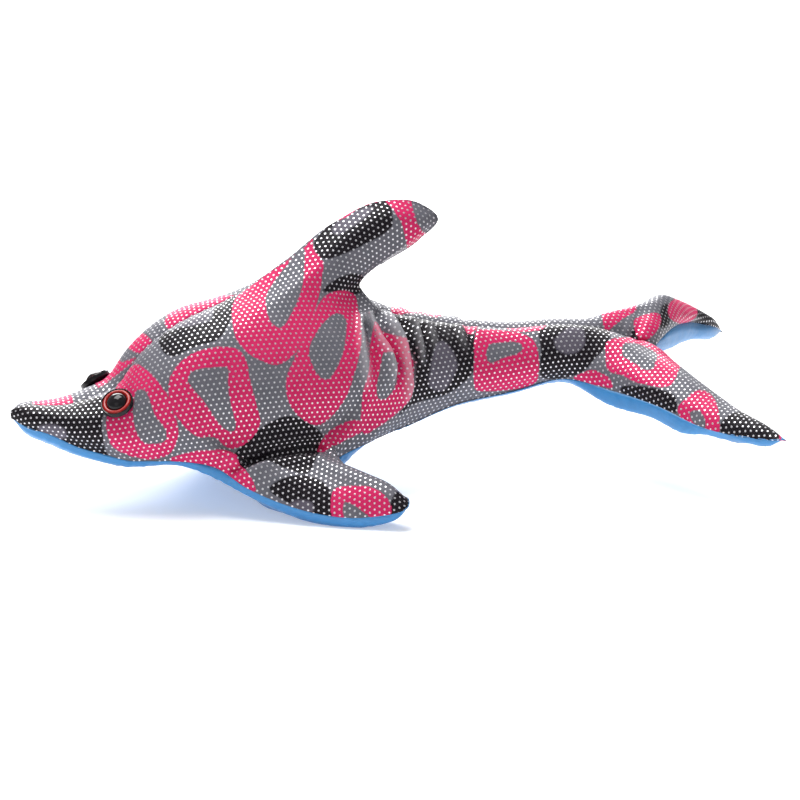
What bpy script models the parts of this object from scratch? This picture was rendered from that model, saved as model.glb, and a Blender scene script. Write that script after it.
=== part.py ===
# Plush dolphin: two printed side panels, a satin belly panel, the filling and two plastic eyes
#
# The dolphin is drawn straight, in millimetres: s runs along the body from beak to flukes, w is the
# distance from the middle plane and z the height above the table. Guide lines run along it, columns
# cross them from the centre seam to the side seam, and one smooth surface passes through all of them.
# The body is then bent sideways at the waist, as the sewn toy lies.

import bpy
import bmesh
import numpy as np
from math import radians, pi
from mathutils import Matrix, Vector

MM = 0.001

# Fabric and gaps
FABRIC = 0.8                # thickness of every panel
GAP = 0.3                   # free space between pieces that touch
FILLING_GAP = 0.5           # free space between the filling and the fabric
LONGEST_MITRE = 1.8         # how much further than one fabric a sharp seam's point moves in, at most
RED = (0.55, 0.02, 0.02)
BLACK = (0.012, 0.012, 0.014)
PRINT = (0.55, 0.04, 0.14)
BLUE = (0.08, 0.32, 0.62)
CREAM = (0.75, 0.72, 0.65)
CLEAR_WHITE = (0.8, 0.8, 0.8)

BEAK_SPARE = 2.5            # how far the filling stops short of the beak's tip

# Bend at the waist, towards the left side
BEND = radians(13.0)
BEND_START = -20.0
BEND_END = 30.0

# Trunk stations: s, centre seam z, half width, z of the widest line, side seam w and z, keel z
TRUNK = [
    (-161.0, 40.8, 0.0, 39.4, 0.0, 37.0, 37.0),
    (-156.5, 41.4, 6.0, 38.6, 5.2, 35.6, 33.2),
    (-148.0, 42.0, 11.2, 37.2, 9.8, 31.8, 29.0),
    (-138.5, 42.0, 15.4, 35.6, 13.6, 27.6, 24.4),
    (-129.0, 44.4, 19.4, 35.0, 17.2, 25.2, 20.0),
    (-119.5, 47.5, 23.4, 36.0, 21.4, 22.8, 17.0),
    (-111.0, 58.6, 26.6, 41.0, 25.0, 22.0, 15.2),
    (-101.0, 67.2, 29.8, 45.0, 28.2, 21.4, 13.6),
    (-89.0, 73.6, 32.4, 46.5, 31.0, 20.4, 12.0),
    (-80.0, 77.2, 33.6, 46.5, 31.6, 18.0, 8.6),
    (-73.0, 80.2, 34.4, 46.5, 32.0, 14.0, 3.0),
    (-65.0, 81.4, 35.0, 46.5, 32.0, 14.0, -2.2),
    (-52.0, 82.0, 35.4, 46.5, 32.0, 14.0, -2.0),
    (-42.0, 81.8, 34.8, 46.8, 32.0, 17.0, 0.0),
    (-30.0, 80.5, 33.6, 47.5, 30.5, 20.4, 15.0),
    (-14.0, 74.0, 29.6, 48.5, 25.5, 24.0, 19.4),
    (2.0, 67.0, 24.2, 47.5, 20.0, 26.8, 23.4),
    (22.0, 63.2, 19.2, 47.5, 15.5, 32.4, 29.3),
    (45.0, 61.0, 16.0, 49.0, 12.8, 36.4, 33.0),
    (68.0, 62.2, 15.4, 51.5, 12.4, 41.4, 38.0),
    (82.0, 61.4, 15.4, 52.0, 13.0, 42.0, 40.0),
]

# Columns: the trunk station that each crosses
COLUMNS = [-161.0, -156.5, -148.0, -138.5, -129.0, -119.5, -111.0, -101.0, -89.0, -75.0, -65.0, -56.0,
           -49.0, -43.0, -38.0, -33.5, -29.0, -23.5, -14.0, 2.0, 22.0, 45.0, 66.0]

# Roundness of the trunk's section: lines above the widest one, by share of its half width and of the
# height over it; then lines below it, by shares of the half width, of the seam's w and of the fall
UPPER = (0.42, 0.99)
FOOT = (0.70, 0.81)
SHOULDER = (0.92, 0.45)
LOW = (0.56, 0.5, 0.42)
LOWER = (0.3, 0.7, 0.75)
BELLY_NEAR = (0.9, 0.34)    # line just inside the side seam: share of its w, and of its height over the keel
BELLY_UNDER = (0.5, 0.04)   # line half way to the keel, likewise

# Dorsal fin by column: s and z of its edge; then s, half thickness and z where it swells inside it
DORSAL = {9: (-70.0, 81.6, -69.2, 7.0, 78.6), 10: (-49.0, 94.0, -45.5, 8.2, 88.0),
          11: (-29.0, 107.6, -25.5, 8.2, 101.5), 12: (-9.0, 115.4, -8.0, 8.0, 108.8),
          13: (8.0, 113.6, 4.5, 6.8, 109.2), 14: (15.6, 107.0, 10.2, 5.6, 107.4),
          15: (8.0, 97.6, 5.2, 5.4, 101.4), 16: (-6.0, 89.0, -8.4, 5.6, 92.8),
          17: (-17.5, 82.6, -19.0, 4.6, 84.2)}
DORSAL_ROOT = {9: (-75.0, 21.0, 74.0), 10: (-65.0, 17.5, 77.5), 11: (-57.5, 16.0, 79.0),
               12: (-52.0, 15.0, 79.5), 13: (-48.0, 14.5, 79.5), 14: (-44.5, 14.0, 79.5),
               15: (-39.5, 13.5, 79.0), 16: (-33.5, 12.5, 78.5), 17: (-26.0, 12.0, 76.0)}

# Flipper edge by column, s, w and z; then s and w of the line where its top swells, and by how much
FLIPPER = {8: (-88.0, 35.4, 20.0, -87.0, 34.6, 1.6), 9: (-78.0, 43.6, 13.4, -75.8, 39.6, 4.0),
           10: (-66.3, 52.4, 8.4, -63.2, 46.6, 5.0), 11: (-53.0, 62.0, 5.4, -50.5, 55.6, 5.4),
           12: (-37.5, 71.0, 5.2, -38.0, 64.4, 5.4), 13: (-20.6, 75.6, 9.6, -27.4, 70.0, 4.0),
           14: (-22.2, 69.0, 9.0, -27.8, 66.4, 3.6), 15: (-28.0, 58.0, 10.0, -32.0, 57.2, 3.4),
           16: (-34.4, 46.4, 13.6, -38.0, 46.0, 3.0), 17: (-38.0, 37.6, 18.0, -39.4, 36.6, 1.2)}
FLIPPER_UNDER = (0.42, 6.5)     # underside: share of the way in from the edge to the top's swelling, and drop
FLIPPER_SOLE = {15: (0.8, 12.5)}    # the same where it rests on the table, towards the tip
FULL_REACH = 24.0           # from root to edge, beyond which the underside drops fully
TABLE_PRESS = (4.0, 0.3)    # above this height the underside is drawn down by this share
UNDER_RISE = 4.0            # height of the belly over its keel, beside a flipper

# Flipper root, by column: s, w and z
FLIPPER_ROOT = {8: (-88.5, 33.6, 28.5), 9: (-78.5, 35.4, 23.0), 10: (-70.5, 36.6, 24.0),
                11: (-64.0, 37.2, 25.2), 12: (-59.0, 37.0, 25.4), 13: (-55.0, 36.6, 25.4),
                14: (-51.5, 36.2, 25.4), 15: (-48.0, 35.8, 25.4), 16: (-44.5, 35.2, 25.6),
                17: (-39.5, 34.6, 26.4)}
ARMPIT_SEAM = {18: (-22.0, 29.6, 22.6)}

# Flukes, from the tail stock to the notch and tip: centre line, and both leading edges
FLUKE_MIDDLE = [(82.0, 61.0), (91.0, 57.6), (99.0, 54.2), (105.0, 51.6)]
FLUKE_EDGE = {-1: [(84.0, 25.0, 39.4), (98.0, 40.0, 37.6), (119.0, 60.0, 31.6), (145.6, 75.6, 31.4)],
              1: [(86.0, 20.0, 41.5), (103.0, 35.0, 42.0), (121.0, 58.0, 45.0), (146.6, 75.6, 37.8)]}
FLUKE_RISE = {-1: [7.0, 6.4, 5.6, 0.0], 1: [11.5, 14.5, 12.5, 3.5]}
FLUKE_CREST = 0.25          # how much of the swelling is left at the middle line
FLUKE_DROP = 6.0            # how far the underside swells
FLUKE_UNDER = (0.08, 0.6)   # its two lines, by share of the way in from the edge
FLUKE_KEEL = [(82.0, 42.6), (91.0, 45.4), (99.0, 47.2)]
FLUKE_SAG = 2.6             # how far the trailing edge curves in towards the tail stock

# Eyes
EYE_COLUMN = 4.62           # place on the side panel's own columns and rows
EYE_ROW = 2.22
EYE_PLATE_RADIUS = 6.5
EYE_PLATE_THICK = 0.9
EYE_PLATE_LIFT = 1.3        # how far the plate's rim stands off the fabric that rises behind it
PUPIL_RADIUS = 4.0
PUPIL_HEIGHT = 3.3
RING_WALL_HEIGHT = 2.3
SHANK_RADIUS = 2.0
SHANK_LENGTH = 12.0
WASHER_RADIUS = 6.0
WASHER_THICK = 1.2
HEAD_CROWN = 2.3            # how far the head's curve falls away under a washer

# Folds behind the dorsal fin: column, row and half lengths of each, and depth
FOLDS = [(18.03, 3.0, 0.20, 1.8, 1.5), (18.32, 3.6, 0.16, 2.0, -1.3), (18.65, 3.4, 0.16, 1.9, 1.0)]

# Sampling
ROW_SAMPLES = [0.0, 1.0, 2.0, 3.0, 4.0, 5.0, 6.0, 7.0]
BELLY_SAMPLES = [0.0, 0.5, 1.0, 1.5, 2.0, 2.35, 2.7, 3.0]
STEPS = 2                   # steps from one column to the next
FOLD_COLUMN = 18            # from this one to the next the steps are finer
FOLD_STEPS = 5


def trunk_at(s):
    """The trunk's sizes at station s, smoothly between its stations."""
    table = np.array(TRUNK)
    return smooth_through(table[:, 0], table[:, 1:], np.atleast_1d(s))[0]


def smooth_through(knots, values, at):
    """Cubic Hermite curve through the values, its slopes taken from the neighbours on both sides."""
    knots = np.asarray(knots, float)
    values = np.asarray(values, float)
    slope = np.zeros_like(values)
    step = np.diff(knots)
    rise = np.diff(values, axis=0) / step[:, None]
    share = (step[1:] / (step[1:] + step[:-1]))[:, None]
    slope[1:-1] = rise[:-1] * share + rise[1:] * (1 - share)
    slope[0] = 1.5 * rise[0] - 0.5 * slope[1]
    slope[-1] = 1.5 * rise[-1] - 0.5 * slope[-2]
    at = np.clip(np.asarray(at, float), knots[0], knots[-1])
    i = np.clip(np.searchsorted(knots, at, side="right") - 1, 0, len(knots) - 2)
    h = step[i][:, None]
    t = ((at - knots[i]) / step[i])[:, None]
    a, b = values[i], values[i + 1]
    m, n = slope[i] * h, slope[i + 1] * h
    return (a * (2 * t**3 - 3 * t**2 + 1) + m * (t**3 - 2 * t**2 + t)
            + b * (3 * t**2 - 2 * t**3) + n * (t**3 - t**2))


def side_column(number, side):
    """Eight guide points of one column, from the centre seam down to the side seam."""
    last = len(COLUMNS) - 1
    if number > last:
        return fluke_column(number - last - 1, side)
    s = COLUMNS[number]
    top, half, widest, seam_w, seam_z, keel = trunk_at(s)
    centre = Vector((s, 0.0, top))
    upper, foot, shoulder = (Vector((s, wide * half, widest + high * (top - widest)))
                             for wide, high in (UPPER, FOOT, SHOULDER))
    flank = Vector((s, half, widest))
    low, lower = (Vector((s, wide * half + inner * seam_w, widest + fall * (seam_z - widest)))
                  for wide, inner, fall in (LOW, LOWER))
    seam = Vector((s, seam_w, seam_z))
    if number == 0:
        points = [centre] + [Vector((s - 0.6, 0.0, top - k * (top - seam_z) / 7)) for k in range(1, 7)]
        return points + [Vector((s + 0.4, 0.0, seam_z))]
    if number in DORSAL:
        edge_s, edge_z, swell_s, swell_w, swell_z = DORSAL[number]
        centre = Vector((edge_s, 0.0, edge_z))
        upper = Vector((swell_s, swell_w, swell_z))
        foot = Vector(DORSAL_ROOT[number])
    if number in FLIPPER:
        seam = Vector(FLIPPER[number][:3])
        low = Vector(FLIPPER_ROOT[number])
        lower = flipper_swell(number, 1.0, FLIPPER[number][5])
    if number in ARMPIT_SEAM:
        seam = Vector(ARMPIT_SEAM[number])
        lower = low.lerp(seam, 0.6)
        lower.y += 0.8
    return [centre, upper, foot, shoulder, flank, low, lower, seam]


def flipper_swell(number, share, rise):
    """The point of a flipper's column on the way in from its edge, raised or lowered by its swelling."""
    edge, root = Vector(FLIPPER[number][:3]), Vector(FLIPPER_ROOT[number])
    inside = Vector((*FLIPPER[number][3:5], edge.z))
    way = share * (inside - edge).length / (root - edge).xy.length
    point = edge.lerp(inside, share)
    point.z += (root.z - edge.z) * min(0.55, way) + rise
    return point


def fluke_column(number, side):
    """Guide points of one column over a fluke, from its centre line out to its leading edge."""
    mid_s, mid_z = FLUKE_MIDDLE[number]
    middle = Vector((mid_s, 0.0, mid_z))
    edge = Vector(FLUKE_EDGE[side][number])
    trailing = number == len(FLUKE_MIDDLE) - 1
    points = []
    for k in range(8):
        v = k / 7
        point = middle.lerp(edge, v)
        if trailing:
            point.x -= FLUKE_SAG * np.sin(pi * v)
            point.z += FLUKE_RISE[side][number] * np.sin(pi * v)
        else:
            swell = (1 - (2 * v - 1)**2)**0.5 * (FLUKE_CREST + (1 - FLUKE_CREST) * min(1.0, 2 * v))
            point.z += FLUKE_RISE[side][number] * swell
        points.append(point)
    return points


def belly_column(number, side):
    """Four guide points of one column underneath, from the side seam in to the keel."""
    seam = side_column(number, side)[-1]
    last = len(COLUMNS) - 1
    if number > last:
        return fluke_under_column(number - last - 1, side)
    s = COLUMNS[number]
    top, half, widest, seam_w, seam_z, keel = trunk_at(s)
    if number == 0:
        return [seam, seam, seam, seam]
    bottom = Vector((s, 0.0, keel))
    near = Vector((seam.x, BELLY_NEAR[0] * seam.y, keel + BELLY_NEAR[1] * (seam.z - keel)))
    under = Vector((s, BELLY_UNDER[0] * seam_w, keel + BELLY_UNDER[1] * (seam.z - keel)))
    if number in FLIPPER:
        root_s, root_w, root_z = FLIPPER_ROOT[number]
        reach = (Vector(FLIPPER_ROOT[number]) - seam).length
        share, drop = FLIPPER_SOLE.get(number, FLIPPER_UNDER)
        near = flipper_swell(number, share, -drop * min(1.0, reach / FULL_REACH))
        near.z -= TABLE_PRESS[1] * max(0.0, near.z - TABLE_PRESS[0])
        floor = trunk_at(root_s)[5]
        rise = UNDER_RISE if floor > 0 else 0.4 * UNDER_RISE
        under = Vector((root_s, 0.8 * root_w, floor + rise))
    return [seam, near, under, bottom]


def fluke_under_column(number, side):
    """Guide points of one column under a fluke, from the leading edge in to its centre line."""
    mid_s, mid_z = FLUKE_MIDDLE[number]
    middle = Vector((mid_s, 0.0, mid_z))
    edge = Vector(FLUKE_EDGE[side][number])
    if number == len(FLUKE_MIDDLE) - 1:
        shares = (0.0, 1 / 3, 2 / 3, 1.0)
        points = [edge.lerp(middle, share) for share in shares]
        for point, share in zip(points, shares):
            point.x -= FLUKE_SAG * np.sin(pi * share)
        return points
    keel_s, keel_z = FLUKE_KEEL[number]
    bottom = Vector((keel_s, 0.0, keel_z))
    near, under = (edge.lerp(bottom, share) - Vector((0.0, 0.0, FLUKE_DROP)) for share in FLUKE_UNDER)
    return [edge, near, under, bottom]


def steps_along(count):
    """Column numbers at which the surface is sampled, finer at the folds and coarser at the beak's tip."""
    along = []
    for i in range(count - 1):
        fine = FOLD_STEPS if i == FOLD_COLUMN else STEPS if i else 1
        along += [i + k / fine for k in range(fine)]
    return np.array(along + [count - 1.0])


def along_line(line, numbers):
    """Smooth curve through a line of points, taken at the given point numbers."""
    steps = np.maximum(np.linalg.norm(np.diff(line, axis=0), axis=1), 0.05)
    knots = np.concatenate([[0.0], np.cumsum(steps)])
    return smooth_through(knots, line, np.interp(numbers, np.arange(len(line)), knots))


def sample(columns, along, rows_at):
    """Points of the smooth surface through the columns: steps along the body by steps across it."""
    net = np.array([[tuple(point) for point in column] for column in columns])
    lengthwise = np.stack([along_line(net[:, row], along) for row in range(net.shape[1])], axis=1)
    return np.stack([along_line(line, rows_at) for line in lengthwise])


def heading(s):
    """Direction of the body's middle line at s, turning smoothly through the waist."""
    t = np.clip((s - BEND_START) / (BEND_END - BEND_START), 0, 1)
    return -BEND * t * t * (3 - 2 * t)


def bend(points):
    """Carry straight points (s, w, z) along the bent middle line."""
    line = np.linspace(-200.0, 200.0, 2001)
    turn = heading(line)
    middle = 0.5 * (turn[1:] + turn[:-1])
    x = np.concatenate([[0.0], np.cumsum(np.cos(middle) * np.diff(line))]) + line[0]
    y = np.concatenate([[0.0], np.cumsum(np.sin(middle) * np.diff(line))])
    s, w, z = points[..., 0], points[..., 1], points[..., 2]
    angle = heading(s)
    return np.stack([np.interp(s, line, x) - w * np.sin(angle), np.interp(s, line, y) + w * np.cos(angle), z], -1)


def folded(grid, along):
    """Press the folds behind the dorsal fin into one side's grid, along the surface's own normals."""
    u = along[:, None]
    v = np.array(ROW_SAMPLES)[None, :]
    depth = np.zeros((len(along), len(ROW_SAMPLES)))
    for column, row, half_u, half_v, size in FOLDS:
        slant = 0.12 * (v - row)
        depth += size * np.exp(-((u - column - slant) / half_u)**2 - ((v - row) / half_v)**4)
    depth *= np.clip(v, 0, 1) * np.clip(ROW_SAMPLES[-1] - v, 0, 1)
    normal = np.cross(np.gradient(grid, axis=0), np.gradient(grid, axis=1))
    normal /= np.maximum(np.linalg.norm(normal, axis=2, keepdims=True), 1e-9)
    return grid + normal * depth[..., None]


def skin_grids():
    """The three panels' outer surfaces as grids of straight points: steps along the body by across."""
    count = len(COLUMNS) + len(FLUKE_MIDDLE)
    along = steps_along(count)
    sides, unders = {}, {}
    for side in (-1, 1):
        mirror = np.array([1.0, side, 1.0])
        top = sample([side_column(i, side) for i in range(count)], along, ROW_SAMPLES)
        under = sample([belly_column(i, side) for i in range(count)], along, BELLY_SAMPLES)
        top[0, :, 1] = 0.0
        top[:, 0, 1] = 0.0
        top = folded(top, along)
        under[:, -1, 1] = 0.0
        under[:, 0] = top[:, -1]
        under[0] = top[0, -1]
        under[-1] = top[-1, ::-1]
        under[..., 2] = np.maximum(under[..., 2], 0.0)
        sides[side] = top * mirror
        unders[side] = under * mirror
    belly = np.concatenate([unders[-1], unders[1][:, -2::-1]], axis=1)
    return {"left": sides[-1], "right": sides[1], "belly": belly}


def skin():
    """The closed outer skin: its bent points, and each panel's faces, pointing outwards."""
    points, index, faces = [], {}, {}

    def number(point):
        key = tuple(np.round(point, 4))
        if key not in index:
            index[key] = len(points)
            points.append(point)
        return index[key]

    for name, grid in skin_grids().items():
        numbers = [[number(point) for point in row] for row in grid]
        faces[name] = []
        for first, second in zip(numbers, numbers[1:]):
            for b in range(len(first) - 1):
                ring = [first[b], second[b], second[b + 1], first[b + 1]]
                ring = [n for k, n in enumerate(ring) if n != ring[k - 1]]
                if name != "right":
                    ring.reverse()
                if len(ring) > 2:
                    faces[name].append(ring)
    points = bend(np.array(points))
    return points, {name: triangles(points, rings) for name, rings in faces.items()}


def triangles(points, rings):
    """Each four-sided face of a panel in two: by its shorter diagonal, but never from rim to rim."""
    rim = {n for edge in rim_edges(rings) for n in edge}
    made = []
    for ring in rings:
        if len(ring) == 3:
            made.append(ring)
            continue
        a, b, c, d = ring
        first = np.linalg.norm(points[a] - points[c]) <= np.linalg.norm(points[b] - points[d])
        if {a, c} <= rim and not {b, d} <= rim:
            first = False
        elif {b, d} <= rim and not {a, c} <= rim:
            first = True
        made += [[a, b, c], [a, c, d]] if first else [[b, c, d], [b, d, a]]
    return made


def outward(points, faces):
    """For each point the vector that moves the faces around it outwards by about one."""
    total = np.zeros_like(points)
    around = [[] for _ in points]
    for ring in faces:
        corner = points[ring]
        normal = np.cross(corner[1] - corner[0], corner[2] - corner[0])
        normal /= max(np.linalg.norm(normal), 1e-12)
        for k, n in enumerate(ring):
            one, two = corner[k - 1] - corner[k], corner[k - 2] - corner[k]
            share = one @ two / (np.linalg.norm(one) * np.linalg.norm(two))
            total[n] += normal * np.arccos(np.clip(share, -1.0, 1.0))
            around[n].append(normal)
    total /= np.linalg.norm(total, axis=1, keepdims=True)
    lean = np.array([np.mean(np.array(rows) @ up) for rows, up in zip(around, total)])
    return total / np.maximum(lean, LONGEST_MITRE**-1)[:, None]


def rim_edges(faces):
    """Directed edges that only one face uses: the rim of an open sheet."""
    used = {(ring[k - 1], ring[k]) for ring in faces for k in range(len(ring))}
    return [(p, q) for p, q in used if (q, p) not in used]


def panel_mesh(points, faces, away):
    """A cut piece of fabric: the outer sheet, an inner sheet one fabric inwards, and its cut edge.

    The cut edge leaves half a gap to the seam, so two pieces that are sewn together don't touch."""
    planes = {}
    rim = rim_edges(faces)
    for p, q in rim:
        inwards = np.cross(away[p] + away[q], points[q] - points[p])
        inwards /= max(np.linalg.norm(inwards), 1e-12)
        planes.setdefault(p, []).append(inwards)
        planes.setdefault(q, []).append(inwards)
    used = sorted({n for ring in faces for n in ring})
    place = {n: k for k, n in enumerate(used)}
    outer, inner = [], []
    for n in used:
        shift = np.zeros(3)
        if n in planes:
            rows = np.array(planes[n])
            shift = np.linalg.lstsq(rows, np.full(len(rows), 0.5 * GAP), rcond=0.25)[0]
        outer.append(points[n] + shift)
        inner.append(points[n] + shift - away[n] * FABRIC)
    size = len(used)
    rings = [[place[n] for n in ring] for ring in faces]
    rings += [[place[n] + size for n in reversed(ring)] for ring in faces]
    rings += [[place[q], place[p], place[p] + size, place[q] + size] for p, q in rim]
    return outer + inner, rings


def material(name, colour, roughness, metallic=0.0):
    """A Principled material of one colour."""
    made = bpy.data.materials.new(name)
    made.use_nodes = True
    shader = made.node_tree.nodes["Principled BSDF"]
    shader.inputs["Base Color"].default_value = (*colour, 1.0)
    shader.inputs["Roughness"].default_value = roughness
    shader.inputs["Metallic"].default_value = metallic
    made.diffuse_color = (*colour, 1.0)
    return made


def add_object(name, points, rings, finish):
    """A named object from points in millimetres and rings of their numbers."""
    mesh = bpy.data.meshes.new(name)
    mesh.from_pydata([tuple(float(c) * MM for c in point) for point in points], [], rings)
    mesh.materials.append(finish)
    mesh.shade_smooth()
    made = bpy.data.objects.new(name, mesh)
    bpy.context.scene.collection.objects.link(made)
    return made


def turned(name, profile, finish, steps=18):
    """A body of revolution about local Z from a profile of radius and height, both ends on the axis."""
    shape = bmesh.new()
    verts = [shape.verts.new((r * MM, 0.0, z * MM)) for r, z in profile]
    edges = [shape.edges.new(pair) for pair in zip(verts, verts[1:])]
    bmesh.ops.spin(shape, geom=verts + edges, angle=2 * pi, steps=steps, axis=(0, 0, 1), cent=(0, 0, 0))
    bmesh.ops.remove_doubles(shape, verts=shape.verts[:], dist=1e-6)
    bmesh.ops.recalc_face_normals(shape, faces=shape.faces[:])
    mesh = bpy.data.meshes.new(name)
    shape.to_mesh(mesh)
    shape.free()
    mesh.materials.append(finish)
    mesh.shade_smooth()
    mesh.set_sharp_from_angle(angle=radians(40))
    made = bpy.data.objects.new(name, mesh)
    bpy.context.scene.collection.objects.link(made)
    return made


def closed(profile):
    """The profile with its first point added again, for a ring that doesn't reach the axis."""
    return profile + [profile[0]]


def cap(radius, height, base, count=5):
    """Points of a dome's outline from its rim up to the axis."""
    angles = [0.5 * pi * k / count for k in range(count + 1)]
    return [(radius * np.cos(a) if k < count else 0.0, base + height * np.sin(a)) for k, a in enumerate(angles)]


def cut(target, tool):
    """Take a tool's shape out of a target, and leave the tool as a hidden guide."""
    tool.hide_render = True
    tool.display_type = "WIRE"
    step = target.modifiers.new("cut " + tool.name, "BOOLEAN")
    step.operation = "DIFFERENCE"
    step.solver = "EXACT"
    step.object = tool


def eye_frame(side, middle):
    """Place of an eye: on its side panel, with local Z along the surface's normal."""
    count = len(COLUMNS) + len(FLUKE_MIDDLE)
    columns = [side_column(i, int(side)) for i in range(count)]
    near = 0.02
    grid = sample(columns, [EYE_COLUMN - near, EYE_COLUMN, EYE_COLUMN + near],
                  [EYE_ROW - near, EYE_ROW, EYE_ROW + near])
    grid = bend(grid * np.array([1.0, side, 1.0])) - middle
    normal = np.cross(grid[2, 1] - grid[0, 1], grid[1, 2] - grid[1, 0]) * side
    up = Vector(normal).normalized()
    across = Vector((0.0, 0.0, 1.0)).cross(up).normalized()
    turn = Matrix((across, up.cross(across), up)).transposed().to_4x4()
    return Matrix.Translation(Vector(grid[1, 1]) * MM) @ turn


def build_eye(word, side, middle, panel, filling, finishes):
    """One eye: button, ring and washer, with the hole in the fabric and the hollow in the filling."""
    black, red, clear = finishes
    frame = eye_frame(side, middle)
    seat = GAP
    rim = seat + EYE_PLATE_LIFT
    top = rim + EYE_PLATE_THICK
    tail = top - SHANK_LENGTH
    button = turned("eye_button_" + word, [(0.0, tail), (SHANK_RADIUS - 0.6, tail), (SHANK_RADIUS, tail + 1.0),
                                           (SHANK_RADIUS, seat), (SHANK_RADIUS + 1.5, seat + 0.3),
                                           (EYE_PLATE_RADIUS, rim), (EYE_PLATE_RADIUS, top)]
                    + cap(PUPIL_RADIUS, PUPIL_HEIGHT, top), black)
    inner, outer = PUPIL_RADIUS + GAP, EYE_PLATE_RADIUS
    middle, half = 0.5 * (inner + outer), 0.5 * (outer - inner)
    foot = top + GAP
    arch = [(middle + half * np.cos(a), foot + RING_WALL_HEIGHT * np.sin(a)) for a in np.linspace(0, pi, 7)]
    ring = turned("iris_ring_" + word, closed([(float(r), float(z)) for r, z in arch]), red)
    under = -FABRIC - GAP - HEAD_CROWN
    bore = SHANK_RADIUS + GAP
    washer = turned("eye_washer_" + word, closed([(bore, under), (WASHER_RADIUS, under),
                                                  (WASHER_RADIUS, under - WASHER_THICK),
                                                  (bore, under - WASHER_THICK)]), clear)
    hole = turned("hole_" + word, [(0.0, -2.2 * FABRIC), (bore, -2.2 * FABRIC), (bore, 1.5 * FABRIC),
                                   (0.0, 1.5 * FABRIC)], black)
    floor = under - WASHER_THICK - GAP
    wide = WASHER_RADIUS + GAP
    hollow = turned("hollow_" + word, [(0.0, tail - GAP), (bore, tail - GAP), (bore, floor), (wide, floor),
                                       (wide, 2.0 * FABRIC), (0.0, 2.0 * FABRIC)], black)
    for piece in (button, ring, washer, hole, hollow):
        piece.matrix_world = frame
    cut(panel, hole)
    cut(filling, hollow)


def main():
    for old in list(bpy.data.objects):
        bpy.data.objects.remove(old, do_unlink=True)
    printed = material("printed_fabric", PRINT, 0.45)
    satin = material("blue_satin", BLUE, 0.35)
    wadding = material("filling", CREAM, 0.9)
    finishes = (material("black_plastic", BLACK, 0.12), material("red_plastic", RED, 0.15),
                material("clear_plastic", CLEAR_WHITE, 0.3))
    points, faces = skin()
    middle = 0.5 * (points.min(axis=0) + points.max(axis=0)) * np.array([1.0, 1.0, 0.0])
    points = points - middle
    away = outward(points, [ring for rings in faces.values() for ring in rings])
    panels = {}
    for name, word, finish in (("left", "side_panel_left", printed), ("right", "side_panel_right", printed),
                               ("belly", "belly_panel", satin)):
        panels[name] = add_object(word, *panel_mesh(points, faces[name], away), finish)
    everything = [ring for rings in faces.values() for ring in rings]
    inner = points - away * (FABRIC + FILLING_GAP)
    inner[points[:, 0] < points[:, 0].min() + 1.0, 0] += BEAK_SPARE
    filling = add_object("filling", inner, everything, wadding)
    build_eye("left", -1, middle, panels["left"], filling, finishes)
    build_eye("right", 1, middle, panels["right"], filling, finishes)


main()
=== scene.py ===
import bpy
import bmesh
import numpy as np
from mathutils import Matrix, Vector
from math import radians, pi


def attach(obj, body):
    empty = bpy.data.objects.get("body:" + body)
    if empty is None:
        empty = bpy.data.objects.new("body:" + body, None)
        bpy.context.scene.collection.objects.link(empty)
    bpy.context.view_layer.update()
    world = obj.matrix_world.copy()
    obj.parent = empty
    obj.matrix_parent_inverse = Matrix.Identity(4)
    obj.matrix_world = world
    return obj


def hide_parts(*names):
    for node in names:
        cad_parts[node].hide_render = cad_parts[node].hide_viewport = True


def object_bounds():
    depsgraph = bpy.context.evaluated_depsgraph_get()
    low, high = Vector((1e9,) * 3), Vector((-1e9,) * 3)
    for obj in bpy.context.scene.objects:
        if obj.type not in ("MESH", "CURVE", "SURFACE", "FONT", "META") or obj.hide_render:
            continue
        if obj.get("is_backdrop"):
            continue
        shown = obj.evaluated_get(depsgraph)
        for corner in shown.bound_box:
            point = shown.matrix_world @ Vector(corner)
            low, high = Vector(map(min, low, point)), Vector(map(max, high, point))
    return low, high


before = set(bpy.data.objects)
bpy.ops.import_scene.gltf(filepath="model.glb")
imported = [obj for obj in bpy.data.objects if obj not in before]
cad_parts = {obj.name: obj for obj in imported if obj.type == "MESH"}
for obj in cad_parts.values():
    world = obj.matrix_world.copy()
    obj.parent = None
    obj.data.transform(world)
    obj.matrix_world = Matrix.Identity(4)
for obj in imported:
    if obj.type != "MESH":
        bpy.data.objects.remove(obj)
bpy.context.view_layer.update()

# Plush dolphin. The skin is drawn straight, in millimetres: s along the body from beak to flukes,
# w from the middle plane, z above the table. Then it is bent at the waist and brought to metres.

mm = 0.001
middle = np.array([-0.735, -14.855, 0.0])          # middle of the bent skin's box, on the frame's origin

# the photograph's camera: degrees, metres from the target, focal length and picture size in pixels
photo = dict(
    yaw=18.0, elevation=15.0, distance=1.5, focal=3675.0, size=800.0, target=(0.735, 14.855, 31.5),
)

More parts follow.
